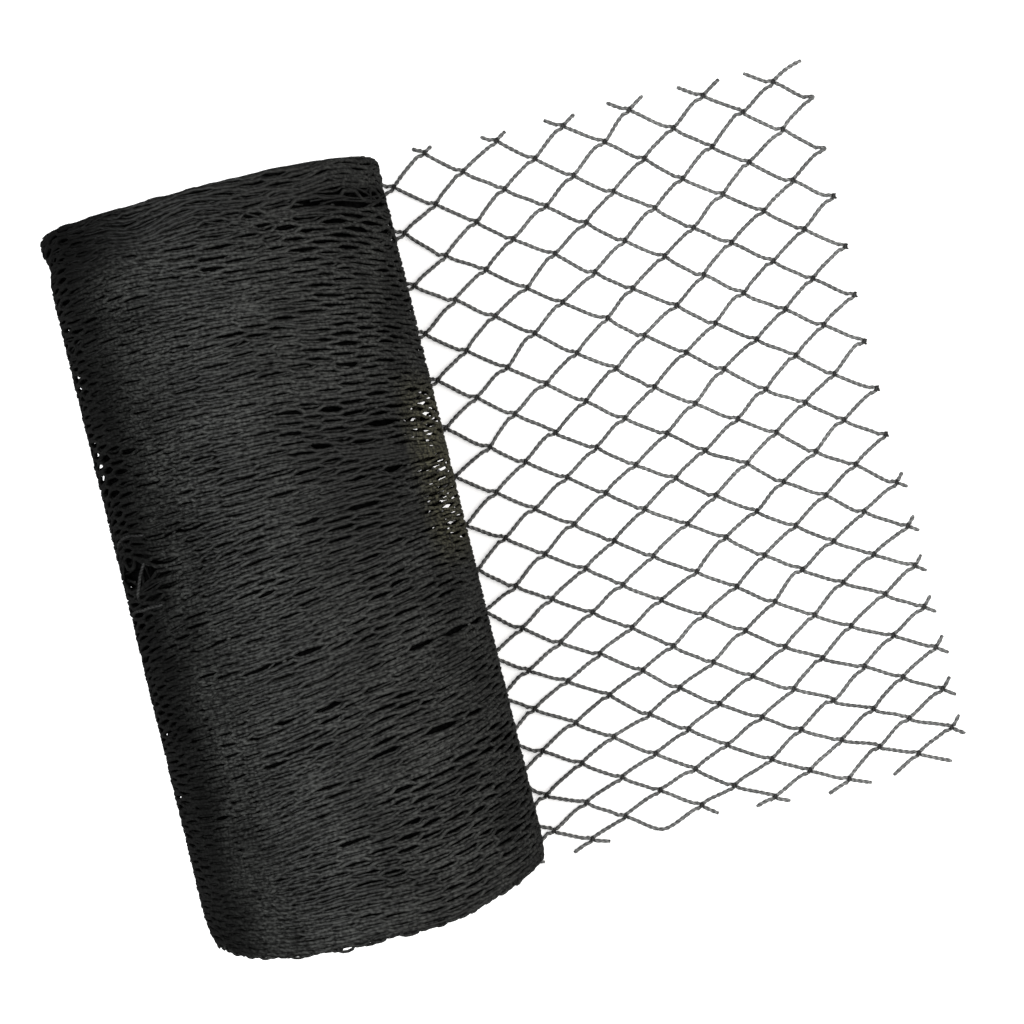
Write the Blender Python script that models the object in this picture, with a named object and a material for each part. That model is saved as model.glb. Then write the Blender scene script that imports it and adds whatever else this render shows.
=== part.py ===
"""A roll of knotted bird netting with its loose end laid out flat beside it.

The net is wound on itself into a cylinder that lies along Y with a small flat spot underneath.
Its loose end comes out from under the roll and lies opened on the same surface, towards +X.
Metres, +Z up. The origin is the middle of the flat spot, on the surface that the roll lies on.
"""
import math

import bmesh
import bpy
from mathutils import Matrix, Vector

# The wound roll.
ROLL_RADIUS = 0.0736
ROLL_HALF_LENGTH = 0.1595
FLAT_HALF_WIDTH = 0.014
ROLL_SIDES = 48

# How its two ends are finished, from the face over the corner to the side.
# inset is measured in from the end of the roll, share is the part of the full radius.
ROLL_CORNERS = (
    # station,        end,    inset,  share
    ("head rim",      "head", 0.0000, 0.940),
    ("head corner",   "head", 0.0020, 0.988),
    ("head lip",      "head", 0.0060, 1.000),
    ("head notch",    "head", 0.0125, 0.988),
    ("head shoulder", "head", 0.0200, 0.997),
    ("foot rim",      "foot", 0.0000, 0.880),
    ("foot corner",   "foot", 0.0030, 0.950),
    ("foot round",    "foot", 0.0080, 0.984),
    ("foot shoulder", "foot", 0.0160, 0.997),
)
SIDE_STATIONS = 15
SIDE_SHARE = 0.999

# Both end faces dip to the eye of the winding, in coiled turns.
END_DISH = 0.0060
END_DISH_POWER = 1.5
END_RINGS = 8
END_TURN_PITCH = 0.0245
END_TURN_DEPTH = 0.0022
END_FACE_SHARE = 0.85

# The gathers that run round the side, where the wound net is drawn in.
GATHERS = (
    # depth,  waves along, waves round, start
    (0.00040, 5.5,         1,           0.3),
    (0.00022, 8.5,         2,           1.7),
    (0.00014, 3.0,         3,           4.1),
)

# The opened net: knot to knot the twine is about 19 mm long, so as the rows close up towards
# the foot the columns spread a little. Columns count towards the free edge, rows towards the foot.
BAR_WIDTH = 0.0018
BAR_THICKNESS = 0.0020
KNOT_RADIUS = 0.0019
FIRST_ROW_Y = 0.15954
HEAD_ROW_STEP = 0.01119
FOOT_ROW_CLOSING = 0.00284
COLUMN_STEP = 0.01580
FOOT_COLUMN_SPREAD = 0.00094
FREE_EDGE_X = 0.2681
FREE_EDGE_LEAN = 0.0103
FREE_EDGE_BOW = 0.0038
ROW_SLOPE = 0.00053
LAST_ROW = 31
LAST_COLUMN = 11

# Under the roll the net draws in to a straight column of knots beside the flat spot.
INNER_COLUMN = -4
INNER_COLUMN_X = 0.0264

# The slack dip in the foot rows.
SAG_DEPTH = 0.0030
SAG_FIRST_ROW = 18
SAG_FULL_ROW = 24
SAG_MIDDLE_COLUMN = 6.0
SAG_COLUMNS = 10.2

# The lines along which the net is cut: a point on each, and the direction of the waste side.
NET_CUTS = (
    # line,       x,      y,       waste side, degrees from +X
    ("head side", 0.2520, 0.1655,   89.6),
    ("foot side", 0.1500, -0.1578, -88.8),
    ("free end",  0.2688, 0.0000,   -0.9),
    ("roll side", 0.0227, 0.0000,  180.0),
)

# Points closer than this are the same point.
SAME_PLACE = 0.000001

BLACK_TWINE = (0.022, 0.022, 0.021, 1.0)
TWINE_ROUGHNESS = 0.55


def clear_scene():
    """Remove every object that the file opened with."""
    for old in list(bpy.data.objects):
        bpy.data.objects.remove(old, do_unlink=True)


def make_collection(name):
    """A collection linked to the scene."""
    collection = bpy.data.collections.new(name)
    bpy.context.scene.collection.children.link(collection)
    return collection


def make_material(name, color, roughness):
    """A Principled BSDF with one colour and roughness."""
    material = bpy.data.materials.new(name)
    material.use_nodes = True
    shader = material.node_tree.nodes["Principled BSDF"]
    shader.inputs["Base Color"].default_value = color
    shader.inputs["Roughness"].default_value = roughness
    shader.inputs["Metallic"].default_value = 0.0
    return material


def object_from(bm, name, material, collection):
    """Turn a bmesh into a named object with smooth shading, and free the bmesh."""
    mesh = bpy.data.meshes.new(name)
    bm.to_mesh(mesh)
    bm.free()
    mesh.materials.append(material)
    mesh.shade_smooth()
    mesh.set_sharp_from_angle(angle=math.radians(35.0))
    item = bpy.data.objects.new(name, mesh)
    collection.objects.link(item)
    return item


def axis_height():
    """Height of the roll's axis, once the flat spot has taken off the lowest sliver."""
    return math.sqrt(ROLL_RADIUS ** 2 - FLAT_HALF_WIDTH ** 2)


def end_outline(end):
    """One end of the outline as (share, y) pairs, from the eye of the winding to the shoulder."""
    side = 1.0 if end == "head" else -1.0
    corners = [(share, inset) for _, where, inset, share in ROLL_CORNERS if where == end]
    rim_share = corners[0][0]
    points = []
    for ring in range(END_RINGS):
        out = ring / END_RINGS
        dip = END_DISH * (1.0 - out) ** END_DISH_POWER
        points.append((rim_share * out, side * (ROLL_HALF_LENGTH - dip)))
    for share, inset in corners:
        points.append((share, side * (ROLL_HALF_LENGTH - inset)))
    return points


def outline_points():
    """The whole outline as (share of radius, y) pairs, from the head eye to the foot eye."""
    head = end_outline("head")
    foot = end_outline("foot")
    top = head[-1][1]
    span = top - foot[-1][1]
    side = []
    for station in range(1, SIDE_STATIONS + 1):
        side.append((SIDE_SHARE, top - span * station / (SIDE_STATIONS + 1)))
    return head + side + foot[::-1]


def gather_depth(angle, y):
    """How far the side is drawn in by the gathers; underneath, the roll's weight presses them out."""
    depth = 0.0
    for size, along, round_waves, start in GATHERS:
        phase = along * math.pi * y / ROLL_HALF_LENGTH + round_waves * angle + start
        depth += size * (1.0 + math.sin(phase))
    return depth * (1.0 + math.cos(angle)) / 2.0


def turn_depth(angle, radius):
    """How far an end face dips between one turn of the winding and the next."""
    turns = radius / END_TURN_PITCH - angle / math.tau
    return END_TURN_DEPTH * (0.5 + 0.5 * math.cos(math.tau * turns))


def shape_wound_surface(bm):
    """Press the gathers into the side and the coiled turns into the ends."""
    for vert in bm.verts:
        radius = math.hypot(vert.co.x, vert.co.z)
        if radius < SAME_PLACE:
            continue
        angle = math.atan2(vert.co.x, vert.co.z)
        if radius > END_FACE_SHARE * ROLL_RADIUS:
            drawn_in = 1.0 - gather_depth(angle, vert.co.y) / radius
            vert.co.x *= drawn_in
            vert.co.z *= drawn_in
        else:
            vert.co.y -= math.copysign(turn_depth(angle, radius), vert.co.y)


def build_roll(material, collection):
    """The wound roll: its outline spun about Y, shaped, then cut flat underneath."""
    bm = bmesh.new()
    outline = [bm.verts.new((share * ROLL_RADIUS, y, 0.0)) for share, y in outline_points()]
    for first, second in zip(outline, outline[1:]):
        bm.edges.new((first, second))
    bmesh.ops.spin(
        bm,
        geom=list(bm.verts) + list(bm.edges),
        cent=(0.0, 0.0, 0.0),
        axis=(0.0, 1.0, 0.0),
        angle=math.tau,
        steps=ROLL_SIDES,
        use_merge=True,
    )
    bmesh.ops.remove_doubles(bm, verts=list(bm.verts), dist=SAME_PLACE)
    shape_wound_surface(bm)
    bmesh.ops.translate(bm, verts=list(bm.verts), vec=(0.0, 0.0, axis_height()))
    cut = bmesh.ops.bisect_plane(
        bm,
        geom=list(bm.verts) + list(bm.edges) + list(bm.faces),
        dist=SAME_PLACE,
        plane_co=(0.0, 0.0, 0.0),
        plane_no=(0.0, 0.0, -1.0),
        clear_outer=True,
    )
    rim = [item for item in cut["geom_cut"] if isinstance(item, bmesh.types.BMEdge)]
    bmesh.ops.edgeloop_fill(bm, edges=rim)
    bmesh.ops.recalc_face_normals(bm, faces=list(bm.faces))
    return object_from(bm, "roll", material, collection)


def row_y(row):
    """Y of a row of knots at the net's middle column; the rows close up towards the foot."""
    closing = FOOT_ROW_CLOSING * row ** 3 / (3.0 * LAST_ROW ** 2)
    return FIRST_ROW_Y - HEAD_ROW_STEP * row + closing


def sag_of(column, row):
    """The slack dip in the foot rows, across the middle columns."""
    ramp = (row - SAG_FIRST_ROW) / (SAG_FULL_ROW - SAG_FIRST_ROW)
    ramp = min(max(ramp, 0.0), 1.0)
    wave = math.cos(math.tau * (column - SAG_MIDDLE_COLUMN) / SAG_COLUMNS)
    return SAG_DEPTH * ramp * wave


def net_point(column, row):
    """Place of a knot of the opened net."""
    along = row / LAST_ROW
    edge = FREE_EDGE_X - FREE_EDGE_LEAN * along + FREE_EDGE_BOW * along ** 2
    step = COLUMN_STEP + FOOT_COLUMN_SPREAD * along ** 3
    first = edge - LAST_COLUMN * step
    if column < 0:
        x = first + (INNER_COLUMN_X - first) * column / INNER_COLUMN
    else:
        x = first + step * column
    y = row_y(row) - ROW_SLOPE * (column - LAST_COLUMN / 2) - sag_of(column, row)
    return x, y


def diamond_sheet(bm):
    """Every diamond mesh as one face: a square grid turned 45 degrees onto the rows and columns."""
    middle_column = (INNER_COLUMN + LAST_COLUMN + 1) // 2
    middle_row = (LAST_ROW + 1) // 2
    cells = LAST_ROW + LAST_COLUMN - INNER_COLUMN
    cells += cells % 2
    grid = bmesh.ops.create_grid(bm, x_segments=cells, y_segments=cells, size=cells / math.sqrt(2.0))
    turn = Matrix.Rotation(math.radians(45.0), 3, "Z")
    bmesh.ops.rotate(bm, verts=grid["verts"], cent=(0.0, 0.0, 0.0), matrix=turn)
    for vert in grid["verts"]:
        vert.co.x = round(vert.co.x) + middle_column
        vert.co.y = round(vert.co.y) + middle_row
    waste = []
    for face in bm.faces:
        centre = face.calc_center_median()
        in_columns = INNER_COLUMN - 1 <= centre.x <= LAST_COLUMN + 1
        in_rows = -1 <= centre.y <= LAST_ROW + 1
        if not (in_columns and in_rows):
            waste.append(face)
    bmesh.ops.delete(bm, geom=waste, context="FACES")
    for vert in bm.verts:
        x, y = net_point(vert.co.x, vert.co.y)
        vert.co = Vector((x, y, 0.0))


def round_knots(bm, knots):
    """Set the corners of every opened mesh at one distance from its knots, as round as a knot is."""
    for corner in bm.verts:
        if corner in knots:
            continue
        for spoke in corner.link_edges:
            knot = spoke.other_vert(corner)
            if knot in knots:
                corner.co = knot.co + (corner.co - knot.co).normalized() * KNOT_RADIUS


def cut_net(bm, x, y, waste_side):
    """Cut the net along a straight line and drop what lies on the waste side."""
    angle = math.radians(waste_side)
    bmesh.ops.bisect_plane(
        bm,
        geom=list(bm.verts) + list(bm.edges) + list(bm.faces),
        dist=SAME_PLACE,
        plane_co=(x, y, 0.0),
        plane_no=(math.cos(angle), math.sin(angle), 0.0),
        clear_outer=True,
    )


def drop_offcuts(bm):
    """Keep only the largest connected piece: short snips outside the last knots fall away."""
    unseen = set(bm.faces)
    pieces = []
    while unseen:
        piece = set()
        waiting = [unseen.pop()]
        while waiting:
            face = waiting.pop()
            piece.add(face)
            for edge in face.edges:
                for neighbour in edge.link_faces:
                    if neighbour in unseen:
                        unseen.remove(neighbour)
                        waiting.append(neighbour)
        pieces.append(piece)
    pieces.sort(key=len)
    offcuts = [face for piece in pieces[:-1] for face in piece]
    bmesh.ops.delete(bm, geom=offcuts, context="FACES")


def build_loose_net(material, collection):
    """The loose end: a diamond sheet whose meshes are opened, cut to size and thickened."""
    bm = bmesh.new()
    diamond_sheet(bm)
    knots = set(bm.verts)
    meshes = list(bm.faces)
    bmesh.ops.inset_individual(bm, faces=meshes, thickness=BAR_WIDTH / 2, use_even_offset=True)
    round_knots(bm, knots)
    bmesh.ops.delete(bm, geom=meshes, context="FACES")
    for _, x, y, waste_side in NET_CUTS:
        cut_net(bm, x, y, waste_side)
    drop_offcuts(bm)
    sheet = bmesh.ops.extrude_face_region(bm, geom=list(bm.faces))
    top = [item for item in sheet["geom"] if isinstance(item, bmesh.types.BMVert)]
    bmesh.ops.translate(bm, verts=top, vec=(0.0, 0.0, BAR_THICKNESS))
    bmesh.ops.recalc_face_normals(bm, faces=list(bm.faces))
    return object_from(bm, "loose_net", material, collection)


def main():
    """Build both pieces in a collection named for the object."""
    clear_scene()
    collection = make_collection("bird_netting_roll")
    wound = make_material("wound_net", BLACK_TWINE, TWINE_ROUGHNESS)
    twine = make_material("net_twine", BLACK_TWINE, TWINE_ROUGHNESS)
    build_roll(wound, collection)
    build_loose_net(twine, collection)


main()
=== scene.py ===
# %% [markdown]
# # A roll of knotted bird netting
# The real thing is one long piece of black net. Thin twisted twine is tied into diamonds, and
# nearly all of it is pulled shut and wound on itself into a fat cylinder. The last stretch
# comes out from under the roll and lies open on the floor.
# This lesson builds it from the floor up: the stage, the twine, the open net, then the roll.

# %% Load the measured frame
import random
from math import (
    atan2, copysign, cos, degrees, exp, hypot, inf, pi, radians, sin, sqrt, tanh, tau,
)

import bmesh
import bpy
from mathutils import Matrix, Vector, noise


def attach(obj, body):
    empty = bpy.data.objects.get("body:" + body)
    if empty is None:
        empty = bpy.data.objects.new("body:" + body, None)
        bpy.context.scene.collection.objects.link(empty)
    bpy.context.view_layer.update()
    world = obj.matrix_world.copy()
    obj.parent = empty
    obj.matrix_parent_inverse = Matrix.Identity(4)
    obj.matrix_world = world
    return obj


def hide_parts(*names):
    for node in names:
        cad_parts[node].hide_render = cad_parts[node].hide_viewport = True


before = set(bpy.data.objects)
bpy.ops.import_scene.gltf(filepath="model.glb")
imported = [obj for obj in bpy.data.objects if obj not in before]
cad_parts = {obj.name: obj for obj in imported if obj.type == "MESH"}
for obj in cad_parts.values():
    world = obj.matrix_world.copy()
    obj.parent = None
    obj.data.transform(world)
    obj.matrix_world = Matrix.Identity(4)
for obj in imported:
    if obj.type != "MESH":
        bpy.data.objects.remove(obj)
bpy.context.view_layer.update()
MM = 0.001

# %% [markdown]
# ## Helpers
# A net has few kinds of part and many of each. Every copy could be written out, but a short
# function for what is done over and over keeps the steps easy to read.

# %% Objects, meshes and nodes
scene = bpy.context.scene


def link(item):
    """Put an object in the scene and hand it back."""
    scene.collection.objects.link(item)
    return item


def written(bm, name):
    """Turn a finished bmesh into a smooth mesh."""
    mesh = bpy.data.meshes.new(name)
    bm.to_mesh(mesh)
    bm.free()
    mesh.shade_smooth()
    return mesh


def clamp(value):
    """Keep a value between 0 and 1."""
    return min(max(value, 0), 1)


def add_node(tree, kind, inputs, **settings):
    """Add a node, set it up, and feed its inputs from sockets or fixed values."""
    node = tree.nodes.new(kind)
    for setting, value in settings.items():
        setattr(node, setting, value)
    for key, value in inputs.items():
        if isinstance(value, bpy.types.NodeSocket):
            tree.links.new(value, node.inputs[key])
        else:
            node.inputs[key].default_value = value
    return node


def math_node(tree, operation, *values):
    """A Math node on sockets and fixed numbers."""
    inputs = dict(enumerate(values))
    return add_node(tree, "ShaderNodeMath", inputs, operation=operation).outputs[0]


def spread_range(tree, *values):
    """Map a value from one range to another, and clamp it there."""
    return add_node(tree, "ShaderNodeMapRange", dict(enumerate(values))).outputs["Result"]


def mix_colors(tree, blend, share, first, second):
    """Mix a share of the second colour into the first."""
    inputs = {"Factor": share, "A": first, "B": second}
    node = add_node(tree, "ShaderNodeMix", inputs, data_type="RGBA", blend_type=blend)
    return node.outputs["Result"]


def soft_noise(tree, vector, scale, detail):
    """Noise in the material, finer as its scale goes up."""
    inputs = {"Vector": vector, "Scale": scale, "Detail": detail}
    return add_node(tree, "ShaderNodeTexNoise", inputs).outputs["Fac"]


print("helpers for", scene.name)

# %% [markdown]
# ## The stage
# A studio sweep is a pale floor that runs out of sight under soft light. Small lamps would
# draw hard glints on every strand, and black net swallows light, so the lamps are large and
# soft and the floor is bright. The room is dim on one side, as real rooms are. The camera
# looks straight down from far away, so that the whole roll keeps almost one scale.

# %% The floor
FLOOR_SIZE = 9
PAPER = {
    "Base Color": (0.92, 0.92, 0.92, 1), "Roughness": 0.9,
    "Emission Color": (1, 1, 1, 1), "Emission Strength": 0.45,
}
paper = bpy.data.materials.new("pale_paper")
paper.use_nodes = True
for key, amount in PAPER.items():
    paper.node_tree.nodes["Principled BSDF"].inputs[key].default_value = amount
floor_bm = bmesh.new()
bmesh.ops.create_grid(floor_bm, x_segments=1, y_segments=1, size=FLOOR_SIZE / 2)
floor = link(bpy.data.objects.new("studio_floor", written(floor_bm, "studio_floor")))
floor.data.materials.append(paper)
floor.visible_diffuse = floor.visible_glossy = False
print("floor", FLOOR_SIZE, "m wide")

# %% The room
ROOM_BRIGHT_WAY = (0.42, 0, 0.91)
ROOM_RISE = (-0.2, 0.65)
ROOM_BRIGHT = (0.9, 0.89, 0.87, 1)
ROOM_DIM = (0.1, 0.1, 0.1, 1)
ROOM_SEEN = (0.97, 0.97, 0.97, 1)
world = bpy.data.worlds.new("soft_room")
world.use_nodes = True
room = world.node_tree
look = room.nodes.new("ShaderNodeTexCoord")
way = {0: look.outputs["Generated"], 1: ROOM_BRIGHT_WAY}
towards = add_node(room, "ShaderNodeVectorMath", way, operation="DOT_PRODUCT")
rise = spread_range(room, towards.outputs["Value"], *ROOM_RISE, 0, 1)
wall = mix_colors(room, "MIX", rise, ROOM_DIM, ROOM_BRIGHT)
ray = room.nodes.new("ShaderNodeLightPath")
seen = mix_colors(room, "MIX", ray.outputs["Is Camera Ray"], wall, ROOM_SEEN)
room.links.new(seen, room.nodes["Background"].inputs["Color"])
scene.world = world
print("room from", ROOM_DIM[0], "to", ROOM_BRIGHT[0])

# %% The lamps
# Each lamp: its name, place, the point it faces, its width, power in watts and colour.
LAMPS = (
    ("left_key", (-1, 0.05, 2.15), (0, 0, 0.07), 1.8, 48, (0.95, 0.985, 1)),
    ("right_fill", (1.15, -0.1, 0.95), (0, 0, 0.07), 1, 8, (1, 0.985, 0.96)),
)
for lamp_name, place, faces, width, power, color in LAMPS:
    lamp = bpy.data.lights.new(lamp_name, "AREA")
    lamp.shape = "SQUARE"
    lamp.size = width
    lamp.energy = power
    lamp.color = color
    lamp_item = link(bpy.data.objects.new(lamp_name, lamp))
    lamp_item.location = place
    facing = Vector(faces) - Vector(place)
    lamp_item.rotation_euler = facing.to_track_quat("-Z", "Y").to_euler()
print(len(LAMPS), "lamps")

# %% The camera
CAMERA_PLACE = (0.0945, -0.0015, 1.784)
CAMERA_TURN = radians(-13.74)
camera_data = bpy.data.cameras.new("camera")
camera_data.sensor_width = 36
camera_data.lens = 140.6
camera = link(bpy.data.objects.new("camera", camera_data))
camera.location = CAMERA_PLACE
camera.rotation_euler = (0, 0, CAMERA_TURN)
scene.camera = camera
scene.view_settings.view_transform = "Standard"
print("camera at", CAMERA_PLACE)

# %% [markdown]
# ## The twine and its finish
# The twine is two plies of fine black yarn twisted together, close to two millimetres across.
# It could be a plain tube with a striped bump, but close up the plies make a wavy outline, so
# a two-lobed outline is swept along each run and turned as it goes. The finish adds what is
# finer than that: fibres, a low, rough sheen, painted shade in the ply grooves, and faint
# specks that are partly dust and partly painted glints.

# %% Swept twine
TWINE_WIDTH = 1.98 * MM
TWINE_LAY = 5.4 * MM
WELD = 0.0005 * MM


def ply_outline(name, sides, waist):
    """A closed two-lobed outline, one unit across."""
    data = bpy.data.curves.new(name, "CURVE")
    data.dimensions = "2D"
    outline = data.splines.new("POLY")
    outline.points.add(sides - 1)
    for index, point in enumerate(outline.points):
        angle = tau * index / sides
        reach = 0.5 * (1 - waist * sin(angle) ** 2)
        point.co = (reach * cos(angle), reach * sin(angle), 0, 1)
    outline.use_cyclic_u = True
    return link(bpy.data.objects.new(name, data))


def sweep(name, runs, sides=8, waist=0.36, closed=False):
    """Sweep twine along runs of (point, width, turn), as one mesh of closed tubes."""
    outline = ply_outline(name + "_outline", sides, waist)
    data = bpy.data.curves.new(name, "CURVE")
    data.dimensions = "3D"
    data.bevel_mode = "OBJECT"
    data.bevel_object = outline
    data.use_fill_caps = True
    for run in runs:
        line = data.splines.new("POLY")
        line.points.add(len(run) - 1)
        for point, (place, width, turn) in zip(line.points, run):
            point.co = (place[0], place[1], place[2], 1)
            point.radius = width
            point.tilt = turn
        line.use_cyclic_u = closed
    path = link(bpy.data.objects.new(name + "_path", data))
    graph = bpy.context.evaluated_depsgraph_get()
    mesh = bpy.data.meshes.new_from_object(path.evaluated_get(graph))
    for curve in (data, outline.data):
        bpy.data.curves.remove(curve)
    bm = bmesh.new()
    bm.from_mesh(mesh)
    bmesh.ops.remove_doubles(bm, verts=list(bm.verts), dist=WELD)
    bmesh.ops.recalc_face_normals(bm, faces=list(bm.faces))
    bm.to_mesh(mesh)
    bm.free()
    mesh.name = name
    mesh.shade_smooth()
    return mesh


def triangles(mesh):
    """How many triangles a mesh has."""
    return sum(len(face.vertices) - 2 for face in mesh.polygons)


def piece(name, mesh, material, slot, *nodes):
    """Make a mesh a piece of the part, with its finish and the solids it stands for."""
    mesh.materials.append(material)
    item = link(bpy.data.objects.new(name, mesh))
    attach(item, "root")
    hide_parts(*nodes)
    print(name, triangles(mesh), "triangles")
    return item


def wound_piece(name, finish, runs, **shape):
    """Sweep runs of the wound net as one piece."""
    return piece(name, sweep(name, runs, **shape), finish, "wound_net", "roll")


print("twine", round(TWINE_WIDTH / MM, 2), "mm wide")

# %% A finish for black twine
DRIFT_SCALE, DRIFT_DETAIL, DRIFT_STOPS = 55, 5, (0.35, 0.68)
FIBRE_SCALE, FIBRE_DETAIL, FIBRE_SHARE = 2600, 2, 0.55
# Specks that are partly dust and partly painted glints.
DUST_GLINT_SCALE, DUST_GLINT_DETAIL, DUST_GLINT_RANGE = 650, 1.5, (0.38, 0.62)
RELIEF_STRENGTH, RELIEF_DEPTH = 0.5, 0.16 * MM
# The ply ridge from groove to crest, which sets the painted shade in the grooves.
RIDGE_RANGE = (-1, 0.4)
DULLEST, SHINIEST = 0.66, 0.42

# Places on the wound twine where shade is painted: the roll's shadowed left side, the head
# band, a drawn-in furrow and a dark gap beside the head band. For x, then y, in millimetres:
# the middle, how far out it is at full strength, and where it ends. Then the share of colour
# kept.
PAINTED_SHADE_PLACES = (
    (-74, 14, 28, 0, 200, 210, 0.25),
    (-30, 70, 100, 160, 13, 28, 0.42),
    (-50, 12, 32, 152, 10, 24, 0.45),
    (36, 12, 30, 29, 24, 42, 0.48),
    (62, 12, 26, 142, 2.5, 6, 0.3),
)
# Light comes through the thin part of the net and tints it.
THIN_PLACE = (74, 9, 17, 24, 26, 44)
THIN_COLOR = (0.062, 0.059, 0.035, 1)
THIN_TINT = 0.55


def near(tree, where, place):
    """One at a place on the net and nothing past its end."""
    shares = []
    for axis, (middle, full, none) in (("X", place[:3]), ("Y", place[3:6])):
        away = math_node(tree, "SUBTRACT", where.outputs[axis], middle * MM)
        away = math_node(tree, "ABSOLUTE", away)
        shares.append(spread_range(tree, away, full * MM, none * MM, 1, 0))
    return math_node(tree, "MULTIPLY", *shares)


def ply_ridge(tree, place, lays_along):
    """The plies' two ridges, which climb one turn in every lay."""
    split = add_node(tree, "ShaderNodeSeparateXYZ", {"Vector": place.outputs["UV"]})
    climb = math_node(tree, "MULTIPLY", split.outputs["X"], lays_along * tau)
    around = math_node(tree, "MULTIPLY_ADD", split.outputs["Y"], 2 * tau, climb)
    return math_node(tree, "COSINE", around)


def black_twine(
    name, dark, light, lays_along, sheen, groove_shade_dark=0.35, dust_and_glint_range=(0.6, 1.45), painted_shade_places=()
):
    """Black yarn that drifts between two tones, with ply grooves and fine fibres, painted
    shade in the grooves, and specks that are partly dust and partly painted glints.
    """
    material = bpy.data.materials.new(name)
    material.use_nodes = True
    tree = material.node_tree
    shader = tree.nodes["Principled BSDF"]
    shader.inputs["Specular IOR Level"].default_value = sheen
    place = tree.nodes.new("ShaderNodeTexCoord")
    spot = place.outputs["Object"]

    drift = soft_noise(tree, spot, DRIFT_SCALE, DRIFT_DETAIL)
    tones = tree.nodes.new("ShaderNodeValToRGB")
    for stop, position, color in zip(tones.color_ramp.elements, DRIFT_STOPS, (dark, light)):
        stop.position = position
        stop.color = color
    tree.links.new(drift, tones.inputs["Fac"])
    gloss = spread_range(tree, drift, 0, 1, SHINIEST, DULLEST)
    tree.links.new(gloss, shader.inputs["Roughness"])

    ridge = ply_ridge(tree, place, lays_along)
    fibres = soft_noise(tree, spot, FIBRE_SCALE, FIBRE_DETAIL)
    relief = math_node(tree, "MULTIPLY_ADD", fibres, FIBRE_SHARE, ridge)
    bumps = {"Strength": RELIEF_STRENGTH, "Distance": RELIEF_DEPTH, "Height": relief}
    bump = add_node(tree, "ShaderNodeBump", bumps)
    tree.links.new(bump.outputs["Normal"], shader.inputs["Normal"])

    # Painted shade darkens the twine in the grooves between its plies.
    groove_shade = spread_range(tree, ridge, *RIDGE_RANGE, groove_shade_dark, 1)
    # Specks, partly dust and partly painted glints, lighten and darken the twine.
    dust_and_glint = soft_noise(tree, spot, DUST_GLINT_SCALE, DUST_GLINT_DETAIL)
    shade = math_node(tree, "MULTIPLY", groove_shade, spread_range(tree, dust_and_glint, *DUST_GLINT_RANGE, *dust_and_glint_range))
    color = tones.outputs["Color"]
    # Painted shade darkens the places listed, and light through the thin net is painted in as
    # a tint.
    if painted_shade_places:
        where = add_node(tree, "ShaderNodeSeparateXYZ", {"Vector": spot})
        for shade_place in painted_shade_places:
            keep = math_node(tree, "MULTIPLY_ADD", near(tree, where, shade_place), shade_place[6] - 1, 1)
            shade = math_node(tree, "MULTIPLY", shade, keep)
        thin = math_node(tree, "MULTIPLY", near(tree, where, THIN_PLACE), THIN_TINT)
        color = mix_colors(tree, "MIX", thin, color, THIN_COLOR)
    finished = mix_colors(tree, "MULTIPLY", 1, color, shade)
    tree.links.new(finished, shader.inputs["Base Color"])
    return material


print(len(PAINTED_SHADE_PLACES), "duller places")

# %% The finishes
OPEN_DARK, OPEN_LIGHT = (0.112, 0.113, 0.112, 1), (0.186, 0.187, 0.184, 1)
KNOT_DARK, KNOT_LIGHT = (0.02, 0.02, 0.02, 1), (0.045, 0.045, 0.044, 1)
PALE_DARK, PALE_LIGHT = (0.022, 0.022, 0.022, 1), (0.04, 0.04, 0.039, 1)
# Painted shade: the third layer and the body are the same twine, near black and without sheen.
DEEP_SHADE_DARK, DEEP_SHADE_LIGHT = (0.001, 0.001, 0.001, 1), (0.004, 0.004, 0.004, 1)
WOUND_DARK, WOUND_LIGHT = (0.01, 0.0103, 0.0096, 1), (0.0252, 0.0258, 0.0243, 1)
WOUND_LAYS = 86
WOUND_LOOK = (WOUND_DARK, WOUND_LIGHT, WOUND_LAYS, 0.24, 0.6, (0.25, 2))
open_twine = black_twine("open_twine", OPEN_DARK, OPEN_LIGHT, 0, 0.4, 0.45, (0.7, 1.25))
knot_twine = black_twine("knot_twine", KNOT_DARK, KNOT_LIGHT, 0, 0.3, 0.45, (0.75, 1.25))
wound_twine = black_twine("wound_twine", *WOUND_LOOK, PAINTED_SHADE_PLACES)
end_twine = black_twine("end_twine", *WOUND_LOOK)
pale_strand = black_twine("pale_strand", PALE_DARK, PALE_LIGHT, 12, 0.3)
deep_shade_twine = black_twine("deep_shade_twine", DEEP_SHADE_DARK, DEEP_SHADE_LIGHT, WOUND_LAYS, 0)
print("finishes", [item.name for item in (open_twine, knot_twine, wound_twine, deep_shade_twine)])

# %% [markdown]
# ## Where the knots of the open net lie
# An opened net is a lattice: every knot has two neighbours to its left and two to its right.
# A perfect grid would be simpler, but a net never lies true. Its rows close up towards the
# foot, where the columns spread, the free edge leans and the slack rows dip, and each knot
# has its own small shift.

# %% Knot places
FIRST_ROW_Y = 159.54 * MM
HEAD_ROW_STEP = 11.19 * MM
FOOT_ROW_CLOSING = 2.84 * MM
COLUMN_STEP = 15.8 * MM
FOOT_COLUMN_SPREAD = 0.94 * MM
FREE_EDGE_X, FREE_EDGE_LEAN, FREE_EDGE_BOW = 268.1 * MM, 10.3 * MM, 3.8 * MM
ROW_SLOPE = 0.53 * MM
LAST_ROW, LAST_COLUMN = 31, 11
INNER_COLUMN, INNER_COLUMN_X = -4, 26.4 * MM
SAG_DEPTH, SAG_FIRST_ROW, SAG_FULL_ROW = 3 * MM, 18, 24
SAG_MIDDLE_COLUMN, SAG_COLUMNS = 6, 10.2
KNOT_SHIFT = 0.55 * MM


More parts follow.
